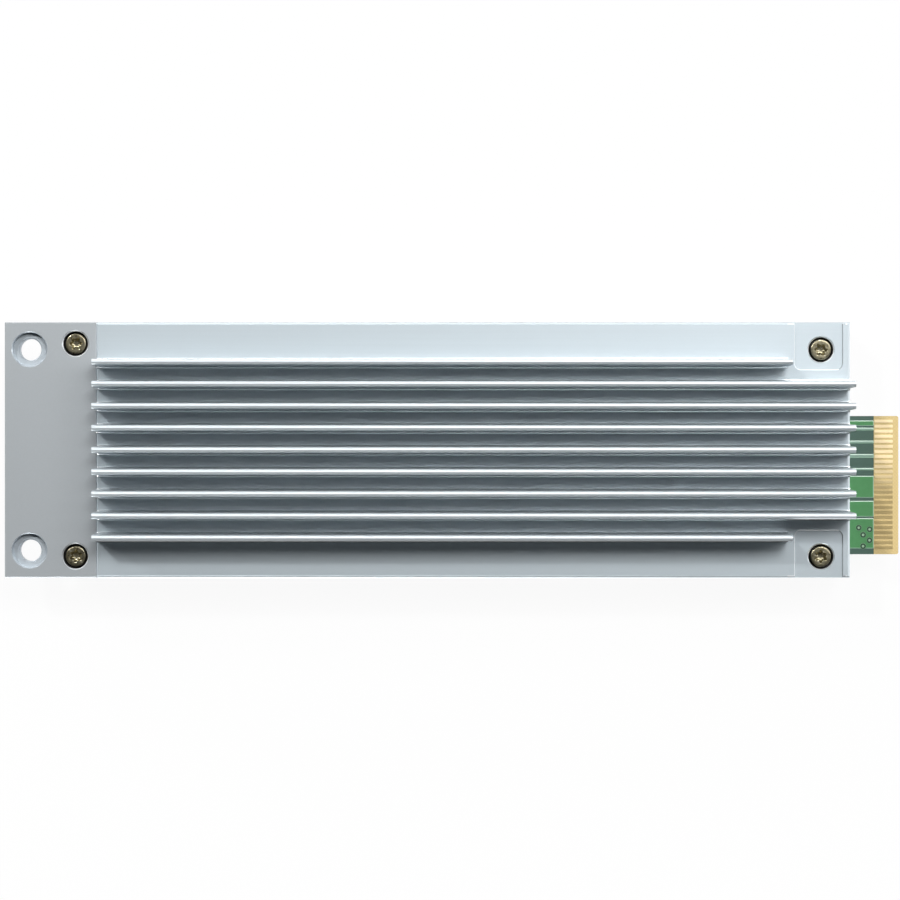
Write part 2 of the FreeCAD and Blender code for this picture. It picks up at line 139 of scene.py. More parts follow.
def calculate(tree, operation, first, second=None, third=None):
    """A Math node. Each term is a number or another node's output; the result is an output."""
    node = add_node(tree, "ShaderNodeMath", operation=operation)
    for place, term in enumerate((first, second, third)):
        if term is None:
            continue
        if isinstance(term, (int, float)):
            node.inputs[place].default_value = term
        else:
            tree.links.new(term, node.inputs[place])
    return node.outputs[0]


bpy.ops.object.select_all(action="DESELECT")
bpy.ops.mesh.primitive_plane_add(size=FLOOR_SIZE, location=(0, 0, 0))
floor = bpy.context.object
floor.name = "floor"
floor_finish = bpy.data.materials.new("pale_floor")
floor_finish.use_nodes = True
tree = floor_finish.node_tree
tree.nodes.clear()
path = add_node(tree, "ShaderNodeLightPath")
seen = calculate(tree, "MAXIMUM", path.outputs["Is Camera Ray"], path.outputs["Is Glossy Ray"])
seen = calculate(tree, "MAXIMUM", seen, path.outputs["Is Transmission Ray"])
matt = add_node(tree, "ShaderNodeBsdfDiffuse")
matt.inputs["Color"].default_value = (0.8, 0.8, 0.8, 1)
glow = add_node(tree, "ShaderNodeEmission")
mix = add_node(tree, "ShaderNodeMixShader")
tree.links.new(calculate(tree, "MULTIPLY", seen, FLOOR_GLOW_SHARE), mix.inputs["Fac"])
tree.links.new(matt.outputs[0], mix.inputs[1])
tree.links.new(glow.outputs[0], mix.inputs[2])
tree.links.new(mix.outputs[0], add_node(tree, "ShaderNodeOutputMaterial").inputs["Surface"])
floor.data.materials.append(floor_finish)
print("floor", FLOOR_SIZE, "m wide")

# %% [markdown]
# Every finish starts in the same way: a new material, its Principled shader, and a Texture
# Coordinate node whose Object output is the place in the model in metres. One helper makes that
# start, and another puts a finish on CAD nodes. Values that are the same all over a piece are set
# straight on the shader's sockets.

# %% Helpers that start a finish
def new_finish(name, **values):
    """A material with its shader's constant values set. Returns material, tree, shader and place."""
    material = bpy.data.materials.new(name)
    material.use_nodes = True
    tree = material.node_tree
    shader = tree.nodes["Principled BSDF"]
    for socket, value in values.items():
        shader.inputs[socket.replace("_", " ")].default_value = value
    place = add_node(tree, "ShaderNodeTexCoord").outputs["Object"]
    return material, tree, shader, place


def dress(finish, *names):
    """Puts the finish on CAD nodes."""
    for name in names:
        nodes[name].data.materials.clear()
        nodes[name].data.materials.append(finish)


print("a finish can be started and put on CAD nodes")

# %% [markdown]
# Every pattern here is built from the same few parts: a noise, a mix of two colours, a soft step
# between two values, one coordinate of a place, and a bump for relief. A helper for each keeps the
# finishes short, and all but the bump return an output that the next helper can take.

# %% Helpers for patterns
def noise(tree, place, scale, detail=2.0, stretch=None):
    """A noise value around 0.5. Stretch scales the place first, for a grain that runs one way."""
    if stretch is not None:
        mapping = add_node(tree, "ShaderNodeMapping")
        mapping.inputs["Scale"].default_value = stretch
        tree.links.new(place, mapping.inputs["Vector"])
        place = mapping.outputs[0]
    texture = add_node(tree, "ShaderNodeTexNoise")
    texture.inputs["Scale"].default_value = scale
    texture.inputs["Detail"].default_value = detail
    tree.links.new(place, texture.inputs["Vector"])
    return texture.outputs["Fac"]


def blend_colours(tree, factor, first, second):
    """A colour between first, at factor 0, and second, at factor 1. Each may be an output."""
    node = add_node(tree, "ShaderNodeMix", data_type="RGBA")
    tree.links.new(factor, node.inputs["Factor"])
    for socket, colour in ((node.inputs[6], first), (node.inputs[7], second)):
        if isinstance(colour, bpy.types.NodeSocket):
            tree.links.new(colour, socket)
        else:
            socket.default_value = (*colour, 1)
    return node.outputs[2]


def add_relief(tree, shader, height, depth, strength=1.0):
    """Turns a height into bumps of the given depth in metres."""
    bump = add_node(tree, "ShaderNodeBump")
    bump.inputs["Distance"].default_value = depth
    bump.inputs["Strength"].default_value = strength
    tree.links.new(height, bump.inputs["Height"])
    tree.links.new(bump.outputs["Normal"], shader.inputs["Normal"])


def smooth_step(tree, value, low, high):
    """0 below low, 1 above high, and a soft step between them."""
    node = add_node(tree, "ShaderNodeMapRange", interpolation_type="SMOOTHSTEP")
    node.inputs["From Min"].default_value = low
    node.inputs["From Max"].default_value = high
    tree.links.new(value, node.inputs["Value"])
    return node.outputs["Result"]


def axis_value(tree, place, axis):
    """One coordinate of a place."""
    parts = add_node(tree, "ShaderNodeSeparateXYZ")
    tree.links.new(place, parts.inputs[0])
    return parts.outputs[axis]


print("pattern helpers ready")

# %% [markdown]
# Blasted metal, such as the cover, the tray and the bracket, has a fine even grain with a faint
# cloudiness. It is one effect on three materials, so it becomes a node group with named inputs. The
# group puts out a colour, a roughness and a height; the shader itself stays in each material.

# %% Node group for blasted metal
CLOUD_SIZE = 7 * MM
PALE_GRAIN_GLOSS = -0.4


def new_group(name, inputs, outputs):
    """A shader node group with the given sockets. Returns the group, its input and output nodes."""
    group = bpy.data.node_groups.new(name, "ShaderNodeTree")
    for label, kind in inputs:
        group.interface.new_socket(label, in_out="INPUT", socket_type="NodeSocket" + kind)
    for label, kind in outputs:
        group.interface.new_socket(label, in_out="OUTPUT", socket_type="NodeSocket" + kind)
    return group, add_node(group, "NodeGroupInput").outputs, add_node(group, "NodeGroupOutput").inputs


blasted_metal, given, result = new_group(
    "blasted_metal",
    [("Place", "Vector"), ("Colour", "Color"), ("Grain Scale", "Float"), ("Tone Spread", "Float"),
     ("Roughness", "Float")],
    [("Colour", "Color"), ("Roughness", "Float"), ("Height", "Float")],
)
grain = add_node(blasted_metal, "ShaderNodeTexNoise")
grain.inputs["Detail"].default_value = 3.0
blasted_metal.links.new(given["Place"], grain.inputs["Vector"])
blasted_metal.links.new(given["Grain Scale"], grain.inputs["Scale"])
cloud = noise(blasted_metal, given["Place"], 1 / CLOUD_SIZE)
both = calculate(blasted_metal, "ADD", grain.outputs["Fac"], cloud)
around_zero = calculate(blasted_metal, "SUBTRACT", both, 1.0)
swing = calculate(blasted_metal, "MULTIPLY", around_zero, given["Tone Spread"])
tone = add_node(blasted_metal, "ShaderNodeVectorMath", operation="SCALE")
blasted_metal.links.new(given["Colour"], tone.inputs[0])
blasted_metal.links.new(calculate(blasted_metal, "ADD", swing, 1.0), tone.inputs["Scale"])
blasted_metal.links.new(tone.outputs[0], result["Colour"])
rough = calculate(blasted_metal, "MULTIPLY_ADD", swing, PALE_GRAIN_GLOSS, given["Roughness"])
blasted_metal.links.new(rough, result["Roughness"])
blasted_metal.links.new(grain.outputs["Fac"], result["Height"])
print("group", blasted_metal.name, "with", len(blasted_metal.nodes), "nodes")

# %% [markdown]
# Holes were cut after blasting, so their seats and rims are bare turned metal: paler, and marked with
# fine rings. A second group works from the distance to a hole's axis. It puts out a mask that is 1
# inside the cut and a height that rises and falls ring by ring. The material uses the group once for
# each hole, with that hole's own place and radius.

# %% Node group for turned holes
TOOL_MARK_PITCH = 0.06 * MM

turned_hole, given, result = new_group(
    "turned_hole",
    [("Place", "Vector"), ("X", "Float"), ("Y", "Float"), ("Radius", "Float")],
    [("Mask", "Float"), ("Height", "Float")],
)
parts = add_node(turned_hole, "ShaderNodeSeparateXYZ")
turned_hole.links.new(given["Place"], parts.inputs[0])
aside = calculate(turned_hole, "SUBTRACT", parts.outputs["X"], given["X"])
across = calculate(turned_hole, "SUBTRACT", parts.outputs["Y"], given["Y"])
squares = calculate(turned_hole, "ADD", calculate(turned_hole, "MULTIPLY", aside, aside),
                    calculate(turned_hole, "MULTIPLY", across, across))
distance = calculate(turned_hole, "SQRT", squares)
turned_hole.links.new(calculate(turned_hole, "LESS_THAN", distance, given["Radius"]), result["Mask"])
phase = calculate(turned_hole, "MULTIPLY", distance, 2 * math.pi / TOOL_MARK_PITCH)
turned_hole.links.new(calculate(turned_hole, "SINE", phase), result["Height"])
print("group", turned_hole.name, "with", len(turned_hole.nodes), "nodes")

# %% [markdown]
# The cover is an anodised extrusion, and its colour isn't the same at every height; most of the
# bands paint light and shade. From the plate upwards it has broken edges, root fillets that the die
# drew smooth, walls and tips. Such a skin is a band: two heights and an area, which for most is the
# whole cover. A mask that is 1 inside the band and fades at its borders lays the band's colour over
# the blasted grain. The broken edges are matt, and painted dark as shade along the near side. Round
# the rear recesses, which were milled last, they are bare and pale, a colour that also paints the
# highlights on the recess walls, apart from the recesses' rear walls, which are painted dark as
# shade. The fillets are painted near white as a highlight line, the walls are painted darker the
# deeper they lie as the shade between the fins, and the tips are painted pale as a highlight. The
# outermost fin's near edge is matt and painted dark, as shade over its glint.

# %% Bands of the cover
COVER_COLOUR = (0.575, 0.645, 0.685)
BAND_FADE = 0.01 * MM
EDGE_BREAKS = (9.27 * MM, 9.497 * MM)
ROOT_FILLETS = (9.505 * MM, 9.77 * MM)
LOWER_WALLS = (9.77 * MM, 13.20 * MM)
UPPER_WALLS = (13.20 * MM, 14.60 * MM)
FIN_TIPS = (14.60 * MM, 15.02 * MM)
TIP_EDGE = (14.40 * MM, 15.02 * MM)
WHOLE = ((-60 * MM, 60 * MM), (-20 * MM, 20 * MM))
NEAR_OUTLINE = ((-60 * MM, 60 * MM), (-20 * MM, -16.7 * MM))
REAR_RECESSES = ((44 * MM, 51.9 * MM), (-16.7 * MM, 16.7 * MM))
RECESS_REAR_WALLS = ((50.8 * MM, 51.7 * MM), (-16.7 * MM, 16.7 * MM))
OUTER_FIN_NEAR_EDGE = ((-60 * MM, 60 * MM), (-12.2 * MM, -11.64 * MM))
FIN_BANDS = [
    (EDGE_BREAKS, WHOLE, COVER_COLOUR, 0.12, -0.4),
    # painted shade along the near outline
    (EDGE_BREAKS, NEAR_OUTLINE, (0.20, 0.23, 0.25), 0.12, -0.4),
    # bare metal round the rear recesses, pale enough to paint the highlights on the recess walls
    (EDGE_BREAKS, REAR_RECESSES, (0.86, 0.88, 0.90), 0.0, 0.0),
    # painted shade on the recesses' rear walls
    (EDGE_BREAKS, RECESS_REAR_WALLS, (0.34, 0.37, 0.39), 0.1, -0.3),
    # smooth fillets, painted near white as a highlight line
    (ROOT_FILLETS, WHOLE, (0.96, 0.98, 0.99), -0.20, 0.3),
    # painted shade on the walls: darkest low down between the fins, less on the upper walls
    (LOWER_WALLS, WHOLE, (0.42, 0.465, 0.50), 0.0, 0.0),
    (UPPER_WALLS, WHOLE, (0.56, 0.61, 0.645), 0.0, 0.0),
    # tips painted pale as a highlight
    (FIN_TIPS, WHOLE, (0.66, 0.715, 0.745), 0.0, 0.0),
    # painted shade over the glint on the outermost fin's near edge
    (TIP_EDGE, OUTER_FIN_NEAR_EDGE, (0.30, 0.33, 0.35), 0.2, -0.4),
]


def band_mask(tree, place, heights, area):
    """1 between two heights and inside the area's two ranges, along X and along Y."""
    inside = None
    for axis, (low, high) in zip("ZXY", (heights, *area)):
        value = axis_value(tree, place, axis)
        above = smooth_step(tree, value, low, low + BAND_FADE)
        under = calculate(tree, "SUBTRACT", 1.0, smooth_step(tree, value, high - BAND_FADE, high))
        between = calculate(tree, "MULTIPLY", above, under)
        inside = between if inside is None else calculate(tree, "MULTIPLY", inside, between)
    return inside


print(len(FIN_BANDS), "bands on the cover")

# %% [markdown]
# The three blasted pieces share one recipe: grain from the first group, bare metal in the holes from
# the second, and bands where a piece has them. A hole is bare all over. A seat that takes a screw is
# bare at its rim only: below the rim it is painted near black, as painted shade in the narrow gap
# round the screw's head. A drawn piece also has faint die lines. Anodised metal is neither a mirror
# nor a paint: a metallic value below 1 keeps some matt light under the sheen, as its oxide layer does.

# %% Recipe for the blasted metal
TURNED_COLOUR = (0.50, 0.55, 0.59)
# painted shade for the deep gap round each screw head, below the seat's rim
SEAT_SHADE_COLOUR = (0.035, 0.033, 0.03)
SEAT_RIM_COLOUR = (0.80, 0.84, 0.87)
RIM_HEIGHT = 0.16 * MM
GRAIN_DEPTH = 0.004 * MM
TOOL_MARK_SHARE = 0.25
DIE_LINE_STRETCH = (25, 3000, 3000)


def blasted_finish(name, colour, grain_size, spread, roughness, metallic, holes=(), seats=(), rim=0.0,
                   die_lines=0.0, bands=()):
    """Blasted metal with turned holes, turned seats with painted shade below the rim, and bands.

    A hole or a seat is its axis x and y and its cut radius. A band is its two heights, its area,
    its colour and how much it adds to the roughness and to the metallic value. It has no grain.
    """
    material, tree, shader, place = new_finish(name, Metallic=metallic)
    skin = add_node(tree, "ShaderNodeGroup", node_tree=blasted_metal)
    tree.links.new(place, skin.inputs["Place"])
    skin.inputs["Colour"].default_value = (*colour, 1)
    skin.inputs["Grain Scale"].default_value = 1 / grain_size
    skin.inputs["Tone Spread"].default_value = spread
    skin.inputs["Roughness"].default_value = roughness
    colour_now = skin.outputs["Colour"]
    rough_now = skin.outputs["Roughness"]
    height = skin.outputs["Height"]
    if die_lines:
        lines = noise(tree, place, 1.0, 3.0, stretch=DIE_LINE_STRETCH)
        faint = calculate(tree, "MULTIPLY_ADD", lines, 2 * die_lines, 1 - die_lines)
        lined = add_node(tree, "ShaderNodeVectorMath", operation="SCALE")
        tree.links.new(colour_now, lined.inputs[0])
        tree.links.new(faint, lined.inputs["Scale"])
        colour_now = lined.outputs[0]
    metal_now = metallic
    for heights, area, tint, rougher, barer in bands:
        inside = band_mask(tree, place, heights, area)
        colour_now = blend_colours(tree, inside, colour_now, tint)
        rough_now = calculate(tree, "MULTIPLY_ADD", inside, rougher, rough_now)
        metal_now = calculate(tree, "MULTIPLY_ADD", inside, barer, metal_now)
        height = calculate(tree, "MULTIPLY", height, calculate(tree, "SUBTRACT", 1.0, inside))
    if bands:
        tree.links.new(metal_now, shader.inputs["Metallic"])
    # Below the rim a seat is painted near black as shade; the rim itself is bare metal.
    rim_start = rim - RIM_HEIGHT
    near_rim = smooth_step(tree, axis_value(tree, place, "Z"), rim_start - BAND_FADE, rim_start)
    seat_shade_and_rim = blend_colours(tree, near_rim, SEAT_SHADE_COLOUR, SEAT_RIM_COLOUR)
    cuts = [(hole, TURNED_COLOUR) for hole in holes] + [(seat, seat_shade_and_rim) for seat in seats]
    for (x, y, radius), cut_colour in cuts:
        cut = add_node(tree, "ShaderNodeGroup", node_tree=turned_hole)
        tree.links.new(place, cut.inputs["Place"])
        cut.inputs["X"].default_value = x
        cut.inputs["Y"].default_value = y
        cut.inputs["Radius"].default_value = radius
        colour_now = blend_colours(tree, cut.outputs["Mask"], colour_now, cut_colour)
        marks = calculate(tree, "MULTIPLY", cut.outputs["Mask"], cut.outputs["Height"])
        height = calculate(tree, "MULTIPLY_ADD", marks, TOOL_MARK_SHARE, height)
    tree.links.new(colour_now, shader.inputs["Base Color"])
    tree.links.new(rough_now, shader.inputs["Roughness"])
    add_relief(tree, shader, height, GRAIN_DEPTH)
    return material


print("recipe for blasted metal ready")

# %% [markdown]
# The cover, the tray and the bracket take their finishes from that recipe. The cover is the palest
# and has the bands, with die lines along its fins. The tray is the same metal, a little darker. The
# bracket is darker too and coarser, with two bare latch holes. Each hole or seat is given by its place
# and its cut radius, and the bracket's lower ones mirror its upper ones.

# %% Finishes for the blasted pieces
LATCH_HOLE = (-56.115 * MM, 13.3 * MM, 2.38 * MM)
FRONT_SEAT = (-50.035 * MM, 14.045 * MM, 1.72 * MM)
REAR_SEAT_UPPER = (48.485 * MM, 13.255 * MM, 1.72 * MM)
REAR_SEAT_LOWER = (48.485 * MM, -14.095 * MM, 1.72 * MM)
REAR_RIM = 9.25 * MM
FRONT_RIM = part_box("front_bracket")[1][2]


def mirrored(hole):
    return (hole[0], -hole[1], hole[2])


cover_finish = blasted_finish(
    "cover_aluminium", COVER_COLOUR, grain_size=0.14 * MM, spread=0.05, roughness=0.38, metallic=0.6,
    seats=[REAR_SEAT_UPPER, REAR_SEAT_LOWER], rim=REAR_RIM, die_lines=0.03, bands=FIN_BANDS,
)
tray_finish = blasted_finish(
    "base_aluminium", (0.42, 0.465, 0.495), grain_size=0.14 * MM, spread=0.06, roughness=0.38,
    metallic=0.6)
bracket_finish = blasted_finish(
    "bracket_metal", (0.43, 0.46, 0.48), grain_size=0.2 * MM, spread=0.07, roughness=0.42, metallic=0.55,
    holes=[LATCH_HOLE, mirrored(LATCH_HOLE)], seats=[FRONT_SEAT, mirrored(FRONT_SEAT)], rim=FRONT_RIM,
)
dress(cover_finish, "heatsink_cover")
dress(tray_finish, "base_shell")
dress(bracket_finish, "front_bracket")
print("dressed the cover, the tray and the bracket; front rim at", round(FRONT_RIM / MM, 3), "mm")

# %% [markdown]
# Now the pieces that are modelled here. Each starts as a primitive at the origin and is shaped in
# edit mode, where everything that is selected takes part in an operation. So one helper clears the
# selection before it adds the primitive, and another selects faces or edges by a test. The object
# itself stays at the origin: its place is given to its points, so that patterns stay with it.

# %% Helpers for edit mode
def begin(name, add_primitive, **settings):
    """Adds a primitive by itself and opens it in edit mode with all of it selected."""
    bpy.ops.object.select_all(action="DESELECT")
    add_primitive(location=(0, 0, 0), **settings)
    piece = bpy.context.object
    piece.name = piece.data.name = name
    bpy.ops.object.mode_set(mode="EDIT")
    return piece


def choose(piece, kind, wanted):
    """Selects only the faces or edges that pass a test on their middle, and returns how many."""
    bpy.ops.mesh.select_mode(type=kind)
    bpy.ops.mesh.select_all(action="DESELECT")
    mesh = bmesh.from_edit_mesh(piece.data)
    found = 0
    for item in mesh.faces if kind == "FACE" else mesh.edges:
        middle = sum((point.co for point in item.verts), Vector()) / len(item.verts)
        if wanted(middle):
            item.select_set(True)
            found += 1
    bmesh.update_edit_mesh(piece.data)
    return found


def resize(size):
    bpy.ops.transform.resize(value=size, center_override=(0, 0, 0))


def close_up(smooth_angle=35):
    """Points all faces outwards, leaves edit mode and smooths what bends less than the angle."""
    bpy.ops.mesh.select_all(action="SELECT")
    bpy.ops.mesh.normals_make_consistent(inside=False)
    bpy.ops.object.mode_set(mode="OBJECT")
    bpy.ops.object.shade_smooth_by_angle(angle=math.radians(smooth_angle))


print("edit mode helpers ready")

# %% [markdown]
# What repeats is modelled once. Each copy gets a mesh of its own, moved by a matrix, and a mirrored
# copy has its faces turned outwards again. A finished piece is then fitted in: it rides on the
# object's one body, and may stand for a CAD node.

# %% Helpers for finished pieces
def copy_of(piece, name, change):
    """A copy with its own mesh, whose points are moved by the matrix."""
    copy = bpy.data.objects.new(name, piece.data.copy())
    copy.data.name = name
    copy.data.transform(change)
    if change.determinant() < 0:
        copy.data.flip_normals()
    scene.collection.objects.link(copy)
    return copy


def fit_in(piece, node=None):
    """Says what a finished piece rides on and which CAD node it stands for."""
    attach(piece, "root")
    if node:
        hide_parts(node)
    print(piece.name, len(piece.data.polygons), "faces")


print("copies can be made and fitted in")

# %% [markdown]
# Four small pan-head screws hold the case together. Such a screw is turned from steel, its six-lobe
# driver socket is pressed in, and its thread is rolled. A round piece could be spun from a profile,
# but the socket and the thread aren't round, so this screw is a stack of rings: one circle is
# extruded again and again, and after each extrude every point of the new ring gets its radius and
# height from a rule. For a round ring the rule is one number. For the socket it is a wave with six
# crests, smaller towards the floor because the punch tapers. For the thread it is a wave that climbs
# by one pitch in each turn.

# %% Rules for the rings
LOBE_COUNT = 6
LOBE_RADIUS = 0.865 * MM
VALLEY_RADIUS = 0.61 * MM
THREAD_CREST = 1.0 * MM
THREAD_ROOT = 0.86 * MM
THREAD_PITCH = 0.4 * MM


def round_rule(radius):
    return lambda angle: radius


def socket_rule(share, grow=0.0):
    """The driver socket's outline, scaled by a share and then widened by grow."""
    middle = (LOBE_RADIUS + VALLEY_RADIUS) / 2
    swing = (LOBE_RADIUS - VALLEY_RADIUS) / 2
    return lambda angle: (middle + swing * math.cos(LOBE_COUNT * angle)) * share + grow


def thread_rule(height):
    """The thread's radius at a height: a straight-sided wave between root and crest."""
    def rule(angle):
        turns = height / THREAD_PITCH - angle / (2 * math.pi)
        wave = abs(2 * (turns - math.floor(turns)) - 1)
        return THREAD_ROOT + (THREAD_CREST - THREAD_ROOT) * wave
    return rule


def shape_ring(piece, rule, height):
    mesh = bmesh.from_edit_mesh(piece.data)
    for point in mesh.verts:
        if point.select:
            angle = math.atan2(point.co.y, point.co.x)
            point.co = (rule(angle) * math.cos(angle), rule(angle) * math.sin(angle), height)
    bmesh.update_edit_mesh(piece.data)


print("three rules: round, socket and thread")

# %% [markdown]
# Now the rings themselves, from the middle of the socket's floor outwards. They climb the socket's
# wall, cross the flat of the head, go over its rounded edge and down to the seat, and then follow
# the shank to its tip. Rings close together hold an edge crisp when the faces are shaded smooth.

# %% The screw's rings
RING_POINTS = 72
THREAD_START = -0.3 * MM
THREAD_END = -5.7 * MM
RINGS_PER_PITCH = 4

socket_rings = [
    (round_rule(0.22 * MM), 0.285), (socket_rule(0.58), 0.30), (socket_rule(0.64), 0.33),
    (socket_rule(0.68), 0.39), (socket_rule(0.95), 0.80), (socket_rule(1.0), 0.86),
    (socket_rule(1.0, 0.03 * MM), 0.884), (socket_rule(1.0, 0.05 * MM), 0.89),
    (socket_rule(1.0, 0.07 * MM), 0.89),
]
head_profile = [
    (1.02, 0.89), (1.12, 0.89), (1.23, 0.888), (1.28, 0.875), (1.32, 0.84), (1.35, 0.77), (1.365, 0.66),
    (1.365, 0.05), (1.33, 0.0), (1.0, 0.0), (1.0, -0.2),
]
rings = [(rule, height * MM) for rule, height in socket_rings]
rings += [(round_rule(radius * MM), height * MM) for radius, height in head_profile]
thread_steps = round((THREAD_START - THREAD_END) / THREAD_PITCH * RINGS_PER_PITCH)
for step in range(thread_steps + 1):
    height = THREAD_START - step * THREAD_PITCH / RINGS_PER_PITCH
    rings.append((thread_rule(height), height))
rings += [(round_rule(0.84 * MM), -5.85 * MM), (round_rule(0.6 * MM), -6.0 * MM)]
print(len(rings), "rings of", RING_POINTS, "points")

# %% [markdown]
# The stack is built in edit mode. It starts as a tiny circle on the socket's floor: each extrude adds
# a ring, which the next rule shapes, and merging the last ring and the first closes both poles. The
# finished screw is copied to the four seats. Each copy is turned by an angle of its own, as screws
# are once they have been driven home.

# %% Build one screw and copy it
SEAT_HEIGHT = 8.3 * MM
SOCKET_FLOOR = 0.28 * MM
POLE_RADIUS = 0.05 * MM

screw = begin("screw", bpy.ops.mesh.primitive_circle_add, vertices=RING_POINTS, radius=POLE_RADIUS,
              fill_type="NOTHING")
bpy.ops.transform.translate(value=(0, 0, SOCKET_FLOOR))
for rule, height in rings:
    bpy.ops.mesh.extrude_region()
    shape_ring(screw, rule, height)
bpy.ops.mesh.merge(type="CENTER")
choose(screw, "EDGE", lambda middle: math.hypot(middle.x, middle.y) < 1.1 * POLE_RADIUS and middle.z > 0)
bpy.ops.mesh.merge(type="CENTER")
close_up()

screw_places = [
    ("front_upper", FRONT_SEAT, 3), ("front_lower", mirrored(FRONT_SEAT), 25),
    ("rear_upper", REAR_SEAT_UPPER, -3), ("rear_lower", REAR_SEAT_LOWER, 29),
]
cover_screws = []
for name, seat, turn in screw_places:
    turned = Matrix.Rotation(math.radians(turn), 4, "Z")
    place = Matrix.Translation((seat[0], seat[1], SEAT_HEIGHT)) @ turned
    piece = copy_of(screw, "cover_screw_" + name, place)
    fit_in(piece, "cover_screws")
    cover_screws.append(piece)
bpy.data.objects.remove(screw)

# %% [markdown]
# The screws are passivated steel with an olive bronze tone, which is never quite even. Where they are
# rubbed, on corners that stand out, they are paler. Pointiness, from the Geometry node, is high on
# such corners and gives the rub as a mask.

# %% Finish for the screws
def edge_rub(tree, low, high):
    """A mask that is 1 on corners that stand out."""
    pointiness = add_node(tree, "ShaderNodeNewGeometry").outputs["Pointiness"]
    return smooth_step(tree, pointiness, low, high)


screw_finish, tree, shader, place = new_finish("screw_metal", Metallic=1.0)
patina = smooth_step(tree, noise(tree, place, 1 / (0.35 * MM), 3.0), 0.3, 0.7)
bronze = blend_colours(tree, patina, (0.31, 0.28, 0.185), (0.39, 0.355, 0.24))
rubbed = blend_colours(tree, edge_rub(tree, 0.52, 0.6), bronze, (0.74, 0.70, 0.55))
tree.links.new(rubbed, shader.inputs["Base Color"])
rough = calculate(tree, "MULTIPLY_ADD", patina, 0.05, 0.27)
tree.links.new(rough, shader.inputs["Roughness"])
add_relief(tree, shader, noise(tree, place, 1 / (0.08 * MM)), 0.001 * MM, 0.15)
for piece in cover_screws:
    piece.data.materials.append(screw_finish)
print("screws finished")

# %% [markdown]
# The board's tab comes out of the case at the rear. Its copper lanes lie under the green solder
# mask, so the mask stands a little higher over them, with a slope along each copper edge. The film
# is one sheet: a plane is cut along both sides of every lane, the lanes are inset and raised in one
# step, and the sheet is made solid. The same film lies on the underside as a mirrored copy.

# %% The solder mask over the tab
TAB_UPPER = 4.54 * MM
TAB_LOWER = -13.92 * MM
MASK_START = 48.0 * MM
MASK_END = 56.04 * MM
FILM_LIFT = 0.015 * MM
FILM_DEPTH = 0.03 * MM
COPPER_STEP = 0.035 * MM
COPPER_SLOPE = 0.13 * MM
COPPER_LANES = [
    (3.95, 3.22), (2.99, 2.60), (1.27, 0.87), (-0.53, -1.07),
    (-2.40, -2.72), (-3.44, -6.38), (-6.78, -8.92), (-9.10, -13.16),
]

board_low, board_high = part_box("circuit_board")
BOARD_TOP, BOARD_BOTTOM = board_high[2], board_low[2]
BOARD_MIDDLE = (BOARD_TOP + BOARD_BOTTOM) / 2
to_underside = Matrix.Translation((0, 0, 2 * BOARD_MIDDLE)) @ Matrix.Scale(-1, 4, (0, 0, 1))

film = begin("mask_film_top", bpy.ops.mesh.primitive_plane_add, size=1)
resize((MASK_END - MASK_START, TAB_UPPER - TAB_LOWER, 1))
bpy.ops.transform.translate(
    value=((MASK_START + MASK_END) / 2, (TAB_UPPER + TAB_LOWER) / 2, BOARD_TOP + FILM_LIFT))
for lane in COPPER_LANES:
    for side in lane:
        bpy.ops.mesh.select_all(action="SELECT")
        bpy.ops.mesh.bisect(plane_co=(0, side * MM, 0), plane_no=(0, 1, 0), threshold=1e-7)


def in_lane(middle):
    return any(low * MM < middle.y < high * MM for high, low in COPPER_LANES)


lane_count = choose(film, "FACE", in_lane)
bpy.ops.mesh.inset(thickness=COPPER_SLOPE, depth=COPPER_STEP)
bpy.ops.object.mode_set(mode="OBJECT")
solid = film.modifiers.new("solid", "SOLIDIFY")
solid.thickness = FILM_DEPTH
solid.offset = -1
bpy.ops.object.modifier_apply(modifier="solid")
film_below = copy_of(film, "mask_film_bottom", to_underside)
for piece in (film, film_below):
    fit_in(piece)
print(lane_count, "lanes raised")

# %% [markdown]
# Five plated holes carry the widest lane through to the board's other side. The mask closes them
# like a tent, which leaves a raised ring round a small dimple; the finish paints the ring dark as
# shade and the dimple pale as a highlight. Each is a thin disc whose upper face is inset three times:
# up onto the ring, along it and down into the dimple.

# %% The tented holes
VIA_RADIUS = 0.40 * MM
VIA_POINTS = 32
VIA_DEPTH = 0.04 * MM
VIA_TOP = BOARD_TOP + FILM_LIFT + COPPER_STEP + FILM_LIFT / 5
VIA_STEPS = [(0.05, 0.006), (0.16, 0.0), (0.05, -0.008)]
VIA_PLACES = [(54.04, -10.37), (55.49, -10.59), (54.62, -11.33), (55.47, -12.05), (54.61, -12.84)]

via = begin("tented_hole", bpy.ops.mesh.primitive_cylinder_add, vertices=VIA_POINTS, radius=VIA_RADIUS,
            depth=VIA_DEPTH)
bpy.ops.transform.translate(value=(0, 0, VIA_TOP - VIA_DEPTH / 2))
choose(via, "FACE", lambda middle: middle.z > BOARD_TOP + FILM_LIFT + COPPER_STEP)
for thickness, depth in VIA_STEPS:
    bpy.ops.mesh.inset(thickness=thickness * MM, depth=depth * MM)
close_up(smooth_angle=50)
vias = []
for number, (x, y) in enumerate(VIA_PLACES, 1):
    place = Matrix.Translation((x * MM, y * MM, 0))
    vias.append(copy_of(via, f"tented_hole_top_{number}", place))
    vias.append(copy_of(via, f"tented_hole_bottom_{number}", to_underside @ place))
for piece in vias:
    fit_in(piece)
bpy.data.objects.remove(via)

# %% [markdown]
# The mask's colour follows its height above the board: dark green where it lies on bare laminate,
# brighter green over copper, and a pale line on the slope between the two, which is a painted
# highlight along the copper's edges. The narrow lanes in the middle are tinned under the mask, which
# makes them greyer. The height is worked out from the distance to the board's middle plane, so one
# finish serves both sides. Solder mask is printed as a liquid, which gives it gloss and a slight
# unevenness.

# %% Finishes for the mask and the tented holes
def height_over_board(tree, place):
    """How far a point is from the board's middle plane, on either side."""
    offset = calculate(tree, "SUBTRACT", axis_value(tree, place, "Z"), BOARD_MIDDLE)
    return calculate(tree, "ABSOLUTE", offset)


